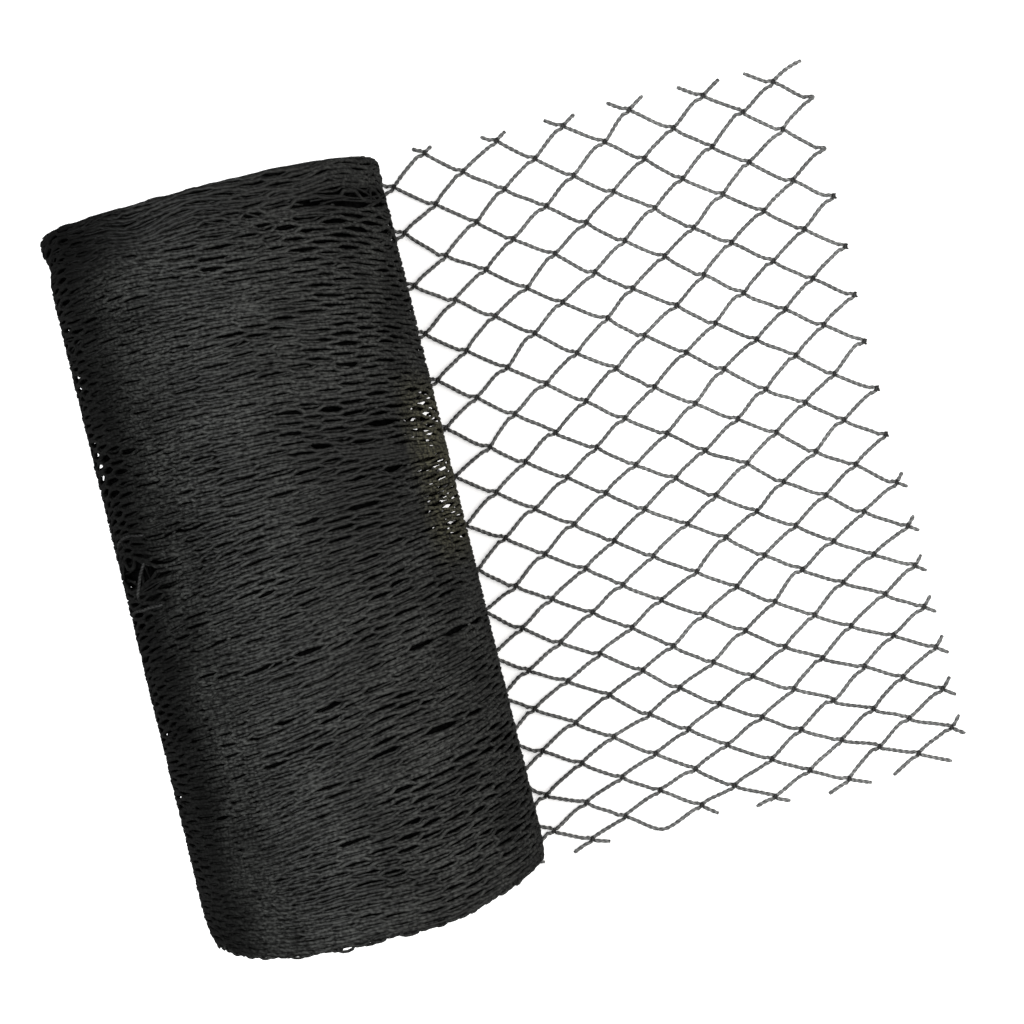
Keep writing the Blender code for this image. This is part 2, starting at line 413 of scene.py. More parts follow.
def row_y(row):
    """Y of a row of knots at the net's middle column."""
    closing = FOOT_ROW_CLOSING * row ** 3 / (3 * LAST_ROW ** 2)
    return FIRST_ROW_Y - HEAD_ROW_STEP * row + closing


def sag_of(column, row):
    """The slack dip in the foot rows, across the middle columns."""
    ramp = clamp((row - SAG_FIRST_ROW) / (SAG_FULL_ROW - SAG_FIRST_ROW))
    wave = cos(tau * (column - SAG_MIDDLE_COLUMN) / SAG_COLUMNS)
    return SAG_DEPTH * ramp * wave


def net_point(column, row):
    """Place of a knot, before its own small shift."""
    along = row / LAST_ROW
    edge = FREE_EDGE_X - FREE_EDGE_LEAN * along + FREE_EDGE_BOW * along ** 2
    step = COLUMN_STEP + FOOT_COLUMN_SPREAD * along ** 3
    first = edge - LAST_COLUMN * step
    if column < 0:
        x = first + (INNER_COLUMN_X - first) * column / INNER_COLUMN
    else:
        x = first + step * column
    y = row_y(row) - ROW_SLOPE * (column - LAST_COLUMN / 2) - sag_of(column, row)
    return Vector((x, y, 0))


def has_knot(column, row):
    """Knots sit where column and row add up to an even number."""
    inside = INNER_COLUMN <= column <= LAST_COLUMN and 0 <= row <= LAST_ROW
    return inside and (column + row) % 2 == 0


knot_places = {}
shift = random.Random(20)
for row in range(LAST_ROW + 1):
    for column in range(INNER_COLUMN, LAST_COLUMN + 1):
        if has_knot(column, row):
            place = net_point(column, row)
            place.x += shift.gauss(0, KNOT_SHIFT)
            place.y += shift.gauss(0, KNOT_SHIFT)
            knot_places[column, row] = place
print(len(knot_places), "knots in the open net")

# %% [markdown]
# ## The knots
# A netting knot is a sheet bend. The runs from the left are the two legs of a bight, which
# turn back into each other. The runs to the right are the two ends of the twine that wraps
# round those legs. The wrap is the dark lump, and the legs are the narrow neck to its left.
# A plain lump would do from afar, but a real wrap is only a dozen points on a curve.

# %% Knot runs
SMALL_TWINE, KNOT_HEIGHT = 1.02 * MM, 1.3 * MM
NECK_LENGTH, NECK_HALF_GAP = 2.7 * MM, 1.25 * MM

# The wrap, point by point in millimetres: x towards the free edge, y towards the head, z up.
WRAP = (
    (1.55, 0.75, 1.1), (0.95, 1.05, 0.95), (0.35, 0.95, 0.65), (-0.15, 0.1, 0.52),
    (-0.4, -0.95, 0.95), (-0.25, -0.85, 1.85), (0.05, 0.05, 2.2), (0.3, 0.95, 1.85),
    (0.4, 1.15, 1.15), (0.4, 0.55, 0.6), (0.6, -0.45, 0.6), (1.05, -0.95, 0.95),
    (1.55, -0.75, 1.1),
)
BIGHT = (
    (-0.6, -0.6, 1.3), (0.2, -0.62, 1.34), (0.8, -0.45, 1.36), (1.02, 0, 1.38),
    (0.8, 0.45, 1.36), (0.2, 0.62, 1.34), (-0.6, 0.6, 1.3),
)


def bend(start, start_way, end, end_way, steps):
    """A smooth bend between two points, with a direction given at each."""
    line = []
    for step in range(steps + 1):
        t = step / steps
        line.append(
            start * (2 * t ** 3 - 3 * t ** 2 + 1)
            + start_way * (t ** 3 - 2 * t ** 2 + t)
            + end * (3 * t ** 2 - 2 * t ** 3)
            + end_way * (t ** 3 - t ** 2)
        )
    return line


def smooth_line(points, pieces):
    """A smooth curve through every given point, as more points."""
    padded = [points[0], *points, points[-1]]
    line = [points[0].copy()]
    for before, start, end, after in zip(padded, points, points[1:], padded[3:]):
        line += bend(start, (end - before) / 2, end, (after - start) / 2, pieces)[1:]
    return line


def twisted(points, width, turn):
    """Make points a run of twine whose plies turn once every lay."""
    run, travelled, last = [], 0, points[0]
    for point in points:
        travelled += (point - last).length
        run.append((point, width, turn + tau * travelled / TWINE_LAY))
        last = point
    return run


def knot_runs(place, spin, rng):
    """The bight and the wrap of one knot."""
    turn = Matrix.Rotation(spin, 3, "Z")
    runs = []
    for shape, pieces in ((WRAP, 2), (BIGHT, 1)):
        points = [place + turn @ (Vector(point) * MM) for point in shape]
        line = smooth_line(points, pieces)
        runs.append(twisted(line, SMALL_TWINE, rng.uniform(0, tau)))
    return runs


def loop_run(place, rng):
    """A bight with nothing tied in it, at the net's own edge."""
    points = [place + Vector(point) * MM for point in BIGHT]
    return twisted(smooth_line(points, 2), TWINE_WIDTH, rng.uniform(0, tau))


print(len(WRAP), "points in a wrap")

# %% Tie the knots
LOOSE_LOOPS = ((LAST_COLUMN, 1), (LAST_COLUMN, 3))
FOOT_BEND = (3, LAST_ROW)
LAST_FOOT_POINT = 3
HEAD_HALF_ROWS = 16


def is_tied(column, row):
    """The foot row is cut away past its third column."""
    return has_knot(column, row) and not (row == LAST_ROW and column > LAST_FOOT_POINT)


def half_of(row):
    """Which half of the open net a row belongs to."""
    return "head" if row < HEAD_HALF_ROWS else "foot"


# Each knot lies turned a little in the floor's plane: the middle turn and its spread.
KNOT_SPIN = (-0.05, 0.1)
knot_rng = random.Random(31)
knot_spins = {key: knot_rng.gauss(*KNOT_SPIN) for key in knot_places}
net_runs = {"head": [], "foot": []}
tied_runs = {"head": [], "foot": []}
for key, place in knot_places.items():
    if key in LOOSE_LOOPS:
        net_runs[half_of(key[1])].append(loop_run(place, knot_rng))
    elif is_tied(*key) and key != FOOT_BEND:
        tied_runs[half_of(key[1])].extend(knot_runs(place, knot_spins[key], knot_rng))
print(sum(map(len, tied_runs.values())), "runs in the knots")

# %% [markdown]
# ## The bars
# Knot to knot, the twine leaves at a steep angle, swings over, and comes into the next
# neck nearly flat. A straight tube would look cut from wire, and a curve with a direction at
# each end bends just so. Each bar rises into its knots and lies on the floor between them.

# %% The places where a bar meets a knot
TWINE_LOW = TWINE_WIDTH / 2 + 0.02 * MM
LUMP_REACH, LUMP_HALF = 1.15 * MM, 0.8 * MM
LEG_HALF_GAP, LEG_HEIGHT = 0.6 * MM, 0.95 * MM
# How far out along a neck a bar is pinned on its way into the knot.
NECK_STOPS = (NECK_LENGTH * 0.55, 0.3 * MM)
# A bar is down on the floor after one part in this many of its length.
SETTLED_AFTER = 5


def flat_way(angle):
    """A direction in the floor's plane."""
    return Vector((cos(angle), sin(angle), 0))


def at_knot(key, x, y, z):
    """A place beside a knot, turned as the knot is."""
    return knot_places[key] + Matrix.Rotation(knot_spins[key], 3, "Z") @ Vector((x, y, z))


def blob_side(key, side):
    """Where a bar leaves a knot on its right; side is 1 towards the head."""
    return at_knot(key, LUMP_REACH, side * LUMP_HALF, KNOT_HEIGHT)


def neck_side(key, side, out):
    """A point on a knot's neck, out metres to the left of its lump."""
    if out > NECK_LENGTH / 2:
        return at_knot(key, -out, side * NECK_HALF_GAP, LEG_HEIGHT)
    return at_knot(key, -out, side * LEG_HALF_GAP, KNOT_HEIGHT)


def settle(line):
    """Let a bar down to the floor between its two ends."""
    count = len(line) - 1
    start_height, end_height = line[0].z, line[-1].z
    for index, point in enumerate(line):
        t = index / count
        lift = start_height * clamp(1 - SETTLED_AFTER * t) ** 2
        lift += end_height * clamp(1 - SETTLED_AFTER * (1 - t)) ** 2
        point.z = max(TWINE_LOW, lift)
    return line


print("twine lies", round(TWINE_LOW / MM, 2), "mm up")

# %% Lay every bar
BAR_STEPS = 18
LEAVE_STEEPER, ARRIVE_FLATTER = radians(4), {1: 0.62, -1: 0.92}
BAR_PULL, BAR_WANDER = 0.6, 0.25
# How unalike the bars are: the spread of their pull, and of the way they leave and arrive.
PULL_SPREAD, LEAVE_SPREAD, ARRIVE_SPREAD = (0.85, 1.15), (0.6, 1.6), (0.8, 1.25)
BEND_UP, BEND_ROUNDNESS, BEND_PULL = 0.8 * MM, 0.75, 1.1


def bar_line(start_key, end_key, rng):
    """One bar, from the lump on its left to the bight on its right."""
    rise = 1 if knot_places[end_key].y > knot_places[start_key].y else -1
    start = blob_side(start_key, rise)
    neck = neck_side(end_key, -rise, NECK_LENGTH)
    gap = neck - start
    angle = atan2(gap.y, gap.x)
    pull = gap.length * BAR_PULL * rng.uniform(*PULL_SPREAD)
    leave = flat_way(angle + rise * LEAVE_STEEPER * rng.uniform(*LEAVE_SPREAD)) * pull
    arrive = flat_way(angle * ARRIVE_FLATTER[rise] * rng.uniform(*ARRIVE_SPREAD)) * pull
    line = bend(start, leave, neck, arrive, BAR_STEPS)
    wander = rng.uniform(-BAR_WANDER, BAR_WANDER) * MM
    across = Vector((-gap.y, gap.x, 0)).normalized()
    for index, point in enumerate(line):
        point += across * wander * sin(tau * index / BAR_STEPS)
    return settle(line + [neck_side(end_key, -rise, out) for out in NECK_STOPS])


def bend_line(start_key, bend_key, end_key):
    """Two bars in one, with a bend where no knot is tied."""
    start = blob_side(start_key, -1)
    middle = knot_places[bend_key] + Vector((0, BEND_UP, TWINE_LOW))
    neck = neck_side(end_key, -1, NECK_LENGTH)
    across = flat_way(0) * (middle - start).length * BEND_ROUNDNESS
    line = bend(start, (middle - start) * BEND_PULL, middle, across, BAR_STEPS)
    line += bend(middle, across, neck, (neck - middle) * BEND_PULL, BAR_STEPS)[1:]
    return settle(line + [neck_side(end_key, -1, out) for out in NECK_STOPS])


bar_rng = random.Random(47)
for (column, row) in knot_places:
    for step in (-1, 1):
        start_key, end_key = (column, row), (column + 1, row + step)
        if is_tied(*start_key) and is_tied(*end_key) and FOOT_BEND not in (start_key, end_key):
            line = bar_line(start_key, end_key, bar_rng)
            bar = twisted(line, TWINE_WIDTH, bar_rng.uniform(0, tau))
            net_runs[half_of(min(row, row + step))].append(bar)
before_bend, after_bend = (FOOT_BEND[0] - 1, LAST_ROW - 1), (FOOT_BEND[0] + 1, LAST_ROW - 1)
foot_line = bend_line(before_bend, FOOT_BEND, after_bend)
net_runs["foot"].append(twisted(foot_line, TWINE_WIDTH, 0))
print(sum(map(len, net_runs.values())), "runs of bars and loops")

# %% [markdown]
# ## The cut edges
# The net was cut by hand, so short ends stick out past the last knots, longer towards the
# free corner of the head edge. The upper knots of the free edge are the net's own finished
# edge and have none.

# %% How a cut end lies
TAIL_STEP = 0.9 * MM
CUT_WIDTH_SHARE = 0.75
tail_rng = random.Random(58)


def tail(key, side, angle, length, curl, neck=False):
    """A short cut end, length in millimetres: it leaves its knot, sinks and bends."""
    length *= MM
    inside = [neck_side(key, side, out) for out in reversed(NECK_STOPS)] if neck else []
    start = neck_side(key, side, NECK_LENGTH) if neck else blob_side(key, side)
    steps = max(5, int(length / TAIL_STEP))
    leave = flat_way(angle) * length
    arrive = flat_way(angle + curl) * length
    end = start + flat_way(angle + 0.5 * curl) * length
    end.z = TWINE_LOW
    line = bend(start, leave, end, arrive, steps)
    for index, point in enumerate(line):
        point.z = max(TWINE_LOW, start.z * clamp(1 - 2.5 * index / steps) ** 2)
    run = twisted(inside + line, TWINE_WIDTH, tail_rng.uniform(0, tau))
    place, width, turn = run[-1]
    run[-1] = (place, width * CUT_WIDTH_SHARE, turn)
    net_runs[half_of(key[1])].append(run)


print("cut ends in steps of", TAIL_STEP / MM, "mm")

# %% Cut the net's sides
UP_RIGHT, UP_LEFT, DOWN_RIGHT = radians(35), radians(147), radians(-36)

# Along the head edge, the last end curls. In millimetres: the first end, and how much longer
# each column makes it.
LEFT_FIRST, LEFT_MORE = 2.6, 0.83
RIGHT_FIRST, RIGHT_MORE, LAST_RIGHT_MORE = 3.2, 0.72, 4.2
for column in range(0, LAST_COLUMN + 1, 2):
    last = column == LAST_COLUMN - 1
    length = RIGHT_FIRST + RIGHT_MORE * column + (LAST_RIGHT_MORE if last else 0)
    tail((column, 0), 1, UP_RIGHT, length, -0.45 if last else -0.1)
    tail((column, 0), 1, UP_LEFT, LEFT_FIRST + LEFT_MORE * column, -0.04, neck=True)

FIRST_TAILED_ROW = 17
for row in range(FIRST_TAILED_ROW, LAST_ROW, 2):
    length = 4 + 0.12 * (row - FIRST_TAILED_ROW)
    tail((LAST_COLUMN, row), 1, UP_RIGHT + 0.2, length, 0.1)
    tail((LAST_COLUMN, row), -1, DOWN_RIGHT, length, 0.05)

# Along the foot edge: the knot's column, then its right-hand and its left-hand end, each a
# length in millimetres and an angle in degrees. One knot has no left-hand end.
FOOT_ENDS = (
    (-3, 6, -19, 6, -159), (-1, 6, -22, 5, -162), (1, 7, -17, 6.8, -160), (4, 7.2, -38, 0, 0),
    (6, 6, -23, 6.2, -166), (8, 9, -22, 8, -161), (10, 14, -26, 11.6, -153),
)
for column, right_length, right_angle, left_length, left_angle in FOOT_ENDS:
    key = (column, LAST_ROW if column % 2 else LAST_ROW - 1)
    tail(key, -1, radians(right_angle), right_length, 0.03)
    if left_length:
        tail(key, -1, radians(left_angle), left_length, 0.05, neck=True)
print({half: len(runs) for half, runs in net_runs.items()}, "runs in the halves")

# %% Sweep the open net, knots and all


def join_meshes(name, first, second):
    """Two meshes as one; the faces of the second use the second material."""
    bm = bmesh.new()
    bm.from_mesh(first)
    own = len(bm.faces)
    bm.from_mesh(second)
    bm.faces.ensure_lookup_table()
    for face in bm.faces[own:]:
        face.material_index = 1
    return written(bm, name)


for half, runs in net_runs.items():
    name = "open_net_" + half
    bars = sweep(name + "_bars", runs, waist=0.28)
    knots = sweep(name + "_knots", tied_runs[half])
    net = piece(name, join_meshes(name, bars, knots), open_twine, "net_twine", "loose_net")
    net.data.materials.append(knot_twine)

# %% [markdown]
# ## The wound roll
# Pulled shut, a diamond is long and thin. Its sides run round the roll together and part
# only in the middle, which leaves a narrow dark slot. Row upon row of slots, each half a
# diamond on from the last, gives the roll its brick pattern.
# The true roll has hundreds of layers. Three over a dark body are enough: the top one is
# seen, and the two below fill its slots here and there, as on the real thing.

# %% The outline that the layers follow
ROLL_RADIUS = 73.6 * MM
HALF_LENGTH = 159.5 * MM
FLAT_HALF_WIDTH = 14 * MM
AXIS_HEIGHT = sqrt(ROLL_RADIUS ** 2 - FLAT_HALF_WIDTH ** 2)

# Share of the full radius, by how far in from the end it is in millimetres.
HEAD_SHARES = (
    (0, 0.962), (1, 0.984), (2.5, 1), (6, 1.008), (12.5, 0.99), (20, 0.998),
)
FOOT_SHARES = ((0, 0.895), (3, 0.945), (8, 0.978), (16, 0.995), (24, 0.999))

# The foot edge isn't square. The angle from the top in degrees, positive on the side of the
# loose net, and how far the rim is drawn towards the head, in millimetres.
FOOT_DRAWN = (
    (-180, 4), (-110, 9), (-80, 7), (-69, 6), (-62, 4.4), (-57, 3.5),
    (-45, 2), (-28, 0), (0, 0), (21, -0.7), (28, -0.2), (36, 0.9),
    (45, 3.3), (56, 5.3), (67, 7.8), (75, 9.4), (95, 11.5), (125, 9.4),
    (180, 4),
)
# Where along the roll that drawing starts, and how it grows towards the foot.
FOOT_DRAWN_FROM, FOOT_DRAWN_GROWTH = -40 * MM, 1.7
# The top of the head rim is drawn in a little too: how far, where from, and where round.
HEAD_DRAWN, HEAD_DRAWN_FROM, HEAD_DRAWN_ROUND = 1.35 * MM, 115 * MM, (-17, 36)
# The foot corner is squarer at the roll's two sides: how much, and where round.
SQUARER = ((0.75, 95, 42), (0.48, -85, 30))
# Behind its lip, the far side is drawn in: how much, where round and how far from the end.
FAR_DENT, FAR_DENT_ROUND, FAR_DENT_IN = 0.014, (-85, 35), (14.5, 6)


def between(table, value):
    """Read a table of (place, amount) pairs, with straight lines between."""
    if value <= table[0][0]:
        return table[0][1]
    for (low, low_amount), (high, high_amount) in zip(table, table[1:]):
        if value <= high:
            return low_amount + (high_amount - low_amount) * (value - low) / (high - low)
    return table[-1][1]


def hump(value, middle, width):
    """A smooth hump, one high in its middle."""
    return exp(-((value - middle) / width) ** 2)


def wrapped(angle):
    """The same angle between minus and plus half a turn."""
    return (angle + pi) % tau - pi


def round_hump(angle, middle, width):
    """A hump round the roll, with its middle and width in degrees from the top."""
    return hump(wrapped(angle), radians(middle), radians(width))


def share_at(angle, y):
    """The share of the full radius at a place on the roll."""
    from_head = (HALF_LENGTH - y) / MM
    from_foot = (HALF_LENGTH + y) / MM
    foot = between(FOOT_SHARES, from_foot)
    sharp = sum(amount * round_hump(angle, *place) for amount, *place in SQUARER)
    dent = FAR_DENT * round_hump(angle, *FAR_DENT_ROUND) * hump(from_head, *FAR_DENT_IN)
    return min(between(HEAD_SHARES, from_head) - dent, 1 - (1 - foot) * (1 - sharp))


def drawn_up(angle, y):
    """How far the rows near both ends are drawn in along the roll."""
    reach = clamp((FOOT_DRAWN_FROM - y) / (FOOT_DRAWN_FROM + HALF_LENGTH))
    back = clamp((y - HEAD_DRAWN_FROM) / (HALF_LENGTH - HEAD_DRAWN_FROM))
    back *= round_hump(angle, *HEAD_DRAWN_ROUND)
    foot = between(FOOT_DRAWN, degrees(wrapped(angle))) * MM
    return foot * reach ** FOOT_DRAWN_GROWTH - HEAD_DRAWN * back


print("axis height", round(AXIS_HEIGHT / MM, 1), "mm")

# %% [markdown]
# ### How the rows run
# Wound by hand, rows lean, wave and part, and all of these are small shifts along the roll.
# Noise could do it all, but the leans and the widest gaps have their places, so they stand in
# tables and noise does the rest.

# %% How far a row is off its even place


def wobble(x, y, z, seed):
    """Smooth noise from about -1 to 1."""
    return noise.noise(Vector((x + 17.3 * seed, y - 9.1 * seed, z + 5.7 * seed)))


def side_wobble(angle, y, ripples, length, seed):
    """Noise on the roll's side that meets itself after a turn."""
    east, north = ripples * sin(angle), ripples * cos(angle)
    return wobble(east, north, y / (length * MM), seed)


# The rows lean, and they bow where the net was drawn in beside its thin place. Both are in
# millimetres at the side, by place along the roll.
ROW_LEAN = (
    (-150, 0), (-125, 5), (-100, 10), (-60, 10), (-20, 9), (5, 7.5),
    (28, 3), (45, -2), (75, -5), (130, -5), (150, 0),
)
ROW_BOW = (
    (-150, 0), (-125, 2), (-60, 2.5), (-20, -1), (23, 1), (44, -5),
    (66, -2), (85, -4.5), (127, -5), (150, 0),
)


def pull_in(angle, y):
    """How far rows drift along the roll as they go round it."""
    side = sin(angle)
    return (between(ROW_LEAN, y / MM) * side + between(ROW_BOW, y / MM) * side ** 2) * MM


# Places where two rows have parted: how far round, how far along, how long and how wide.
PARTINGS = (
    (1.05, 143.6, 0.5, 4.6), (0.4, 138, 0.45, 0.9), (0.55, 78, 0.45, 0.9),
    (0.74, 51, 0.36, 1.2), (0.58, 44.5, 0.34, 1.1), (0.92, 40.5, 0.26, 1.1),
    (0.4, 12, 0.3, 0.9), (0.7, -8, 0.35, 0.9), (-0.1, -37, 0.35, 0.9),
    (0.86, -54, 0.5, 1.3), (-0.55, 25, 0.3, 0.8), (0.1, -62, 0.6, 0.8),
    (0.6, -88, 0.45, 1), (-0.6, -20, 0.25, 0.8), (0.2, -118, 0.4, 0.7),
    (-0.9, 60, 0.3, 0.9), (-0.8, -90, 0.35, 0.8), (2.4, 20, 0.6, 1),
    (-2.3, -40, 0.6, 1), (3, 90, 0.5, 0.9), (-1.6, 95, 0.4, 0.9),
    (0.3, 60, 0.3, 1), (0.85, 25, 0.28, 1.1), (0.15, 34, 0.25, 0.9),
    (-1.14, 14.5, 0.2, 8), (0.66, 56.5, 0.3, 0.9),
)
PARTING_REACH = 4.5 * MM


def parted(angle, y):
    """How far a row is pushed away from the partings beside it."""
    push = 0
    for at, along, length, width in PARTINGS:
        gap = y - along * MM
        if abs(gap) < 4 * PARTING_REACH:
            here = width * MM * hump(wrapped(angle), at, length)
            push += here * tanh(gap / (0.6 * MM)) * exp(-abs(gap) / PARTING_REACH)
    return push


HEAD_BAND = 16 * MM
HEAD_BAND_Y = HALF_LENGTH - 0.4 * HEAD_BAND
HEAD_BAND_SLANT = 4.2 * MM
SLOW_WAVE, OWN_WAVE, SHAKE = 2.4 * MM, 1 * MM, 0.65 * MM
# The rows lie square at both ends, and let go over one part in this many of the half length.
LET_GO = 6


def head_tangle(angle, y):
    """The rows beside the head edge lie slantwise over one another."""
    beside = hump(y, HEAD_BAND_Y, 0.75 * HEAD_BAND)
    return beside * HEAD_BAND_SLANT * side_wobble(angle, y, 3, 22, 9)


def row_shift(angle, y, layer):
    """How far a row is off its even place."""
    slow = SLOW_WAVE * side_wobble(angle, y, 1.4, 38, 1)
    own = OWN_WAVE * side_wobble(angle, y, 2.5, 11, 2 + layer)
    shake = SHAKE * side_wobble(angle, y, 9, 2.4, 6 + layer)
    inward = 1 - abs(y) / HALF_LENGTH
    steady = (pull_in(angle, y) + slow + own) * clamp(LET_GO * inward)
    return steady + shake + parted(angle, y) + head_tangle(angle, y)


print(len(PARTINGS), "partings between rows")

# %% [markdown]
# ### Points on the roll
# One function turns a place round and along the roll into a point, bends rows over the rims
# and rests the roll on its flat. Layers built apart would not nest so well.

# %% From a place on the roll to a point
# Where the lower layers have sunk, at some places so deep that light comes through: the place
# round in radians and along in millimetres, the reach each way, and the depth.
HOLLOWS = (
    (1.57, 26, 0.55, 40, 13),
    (-1.5, 96, 0.2, 7, 6), (-1.5, 60, 0.2, 12, 6),
    (-1.5, -60, 0.2, 6, 6), (-1.5, -88, 0.18, 5, 5),
    (-1.05, 8.5, 0.3, 11, 8), (0.62, 44, 0.36, 17, 1.2),
)


def hollow(angle, y):
    """How much deeper the lower layers lie at a place."""
    deep = 0
    for at, along, round_reach, along_reach, depth in HOLLOWS:
        away = abs(wrapped(angle) - at) / round_reach
        away += (abs(y / MM - along) / along_reach) ** 4
        deep = max(deep, depth * MM * clamp(2.2 * (1.3 - away)))
    return deep


END_MARGIN, SECOND_SINKS = 0.4 * MM, 0.55
FLOOR_GAP, LAYER_GAP = 0.68 * MM, 0.9 * MM


def wound_point(angle, y, depth, layer):
    """A point of a layer, on the side or past a rim and in over the end."""
    if layer > 0:
        depth += hollow(angle, y) * (SECOND_SINKS if layer == 1 else 1)
    limit = HALF_LENGTH - END_MARGIN - 0.4 * max(depth, 0)
    past = max(0, abs(y) - limit)
    y = copysign(min(abs(y), limit) - 0.1 * past, y)
    radius = ROLL_RADIUS * share_at(angle, y) - depth - past
    x = radius * sin(angle)
    z = AXIS_HEIGHT + radius * cos(angle)
    y += drawn_up(angle, y)
    return Vector((x, y, max(z, FLOOR_GAP + LAYER_GAP * layer)))


print(len(HOLLOWS), "hollows")

# %% [markdown]
# ### Layers of shut net
# Each layer could be a sheet with holes, but it is made as the net is: strands that zigzag
# round the roll and touch the next at every knot. A strand lies beside one neighbour, crosses
# over, and lies beside the other. The crossing is short, so that a slot is blunt.
# The rows start on the head end, run over its rim, along the side and over the foot rim.

# %% Where the strands touch and how far they part
DIAMONDS_ROUND = 20
KNOT_COLUMNS = 2 * DIAMONDS_ROUND
ROW_PITCH = 2.14 * MM
TOUCH = 0.5 * MM
OVER_THE_RIM = 11 * MM
ROW_COUNT = int(2 * (HALF_LENGTH + OVER_THE_RIM) / ROW_PITCH)
CROSSING = ((0, 0), (0.36, 0.08), (0.64, 0.92))
ROUGH_CROSSING = ((0, 0.08), (0.5, 0.5))


def row_middle(index):
    """Where a strand lies along the roll, before any shift."""
    return HALF_LENGTH + OVER_THE_RIM - ROW_PITCH * (index + 0.5)


def column_angle(column, y, phase):
    """Where a knot column stands round the roll; it wavers along it."""
    waver = 0.75 * wobble(column * 0.35, y / (13 * MM), 0, 4)
    return tau * (column + phase + waver) / KNOT_COLUMNS - pi


# Some stretches are pulled shut, and some gape: how much, where round the roll in degrees,
# and where along it.
ALL_ALONG = (0, inf)
SHUT = (
    (0.28, (-22, 25), ALL_ALONG), (0.4, (72, 34), ALL_ALONG),
    (0.12, (0, inf), (HEAD_BAND_Y, HEAD_BAND)), (0.22, (42, 24), (0.11, 0.035)),
)
GAPING = ((0.23, (-72, 18), ALL_ALONG), (0.12, (35.523, 17.189), (0.044, 0.016)))
EVEN_OPEN, COARSE_OPEN, FINE_OPEN = 0.94, 0.46, 0.6
LEAST_OPEN, MOST_OPEN = 0.05, 1.18


def amount_of(places, angle, y):
    """How much of something there is at a place on the roll."""
    return sum(
        amount * round_hump(angle, *around) * hump(y, *along)
        for amount, around, along in places
    )


def openness(angle, y, layer):
    """How far the slots are open."""
    coarse = COARSE_OPEN * side_wobble(angle, y, 2, 24, 11 + layer)
    fine = FINE_OPEN * side_wobble(angle, y, 11, 3.5, 12 + layer)
    even = EVEN_OPEN - amount_of(SHUT, angle, y) + coarse + fine
    return min(max(even, LEAST_OPEN), MOST_OPEN) + amount_of(GAPING, angle, y)


def thin_place(angle, y):
    """Where the wound net is thin, from 0 to 1."""
    across = max(hump(wrapped(angle), 1.15, 0.2), hump(wrapped(angle), 2, 0.36))
    return across * hump(y, 24 * MM, 36 * MM)


def fill_shift(angle, layer):
    """The second layer fills the top one's slots, but less towards the loose net."""
    if layer != 1:
        return 0
    share = 0.5 - 0.35 * sin(wrapped(angle) - radians(10))
    share *= 1 - 0.8 * round_hump(angle, -76, 20)
    return ROW_PITCH * share


print(ROW_COUNT, "strands in a layer")

# %% Wind the three layers
STRAND_RISE, STRAND_UNEVEN, THINNER_SHARE = 0.4 * MM, 0.24, 0.36


def strand(index, layer, phase, crossing, depth, width, rng):
    """One strand round the roll, which touches a neighbour at every knot column."""
    middle = row_middle(index)
    spread = ROW_PITCH - 2 * TOUCH
    turn = rng.uniform(0, tau)
    run = []
    for column in range(KNOT_COLUMNS):
        side = 1 if (column + index) % 2 == 0 else -1
        for t, crossed in crossing:
            angle = column_angle(column + t, middle, phase)
            sway = side * (0.5 - crossed) * spread * openness(angle, middle, layer)
            y = middle + sway + fill_shift(angle, layer)
            y += row_shift(angle, y, layer)
            rise = STRAND_RISE * wobble(11 * angle, y / (1.2 * MM), 0, 3 + layer)
            uneven = STRAND_UNEVEN * wobble(14 * angle, y / (1.5 * MM), 0, 8)
            thick = width * (1 + uneven) * (1 - THINNER_SHARE * thin_place(angle, y))
            run.append((wound_point(angle, y, depth - rise, layer), thick, turn))
    return run


TOP_WIDTH, LOW_WIDTH = 2.04 * MM, 1.7 * MM
# Each layer: its name, finish, turn in knot columns, depth, crossing, sides and width.
LAYERS = (
    ("wound_net_top", wound_twine, 0, 0, CROSSING, 5, TOP_WIDTH),
    ("wound_net_second", wound_twine, 0, 0.75 * MM, CROSSING, 4, LOW_WIDTH),
    # The third layer is painted near black, as shade deep in the roll.
    ("wound_net_third", deep_shade_twine, 0.75, 1.9 * MM, ROUGH_CROSSING, 3, LOW_WIDTH),
)
for layer, (name, finish, phase, depth, crossing, sides, width) in enumerate(LAYERS):
    rng = random.Random(70 + layer)
    strands = [
        strand(index, layer, phase, crossing, depth, width, rng) for index in range(ROW_COUNT)
    ]
    wound_piece(name, finish, strands, sides=sides, waist=0.12, closed=True)

# %% [markdown]
# ### Knots of the top layer
# Shut tight, the knots are hard lumps along the strands. Tied ones wouldn't show here, so a
# ball of twenty faces, stretched along its strand, is enough for each.

# %% Set the knots of the top layer
KNOT_SIZE = (2.8 * MM, 1.5 * MM, 1.2 * MM)
LUMP_PROUD, LOOK_AHEAD = 0.05 * MM, 0.03


def knot_seat(index, column):
    """The place, turn and size of one knot, as a matrix for a small ball."""
    middle = row_middle(index)
    y = middle + 0.5 * ROW_PITCH
    angle = column_angle(column, middle, 0)
    place, ahead = (
        wound_point(at, y + row_shift(at, y, 0), -LUMP_PROUD, 0)
        for at in (angle, angle + LOOK_AHEAD)
    )
    along = (ahead - place).normalized()
    side = Vector((sin(angle), 0, cos(angle))).cross(along).normalized()
    turned = Matrix((along, side, along.cross(side))).transposed()
    return Matrix.LocRotScale(place, turned, KNOT_SIZE)


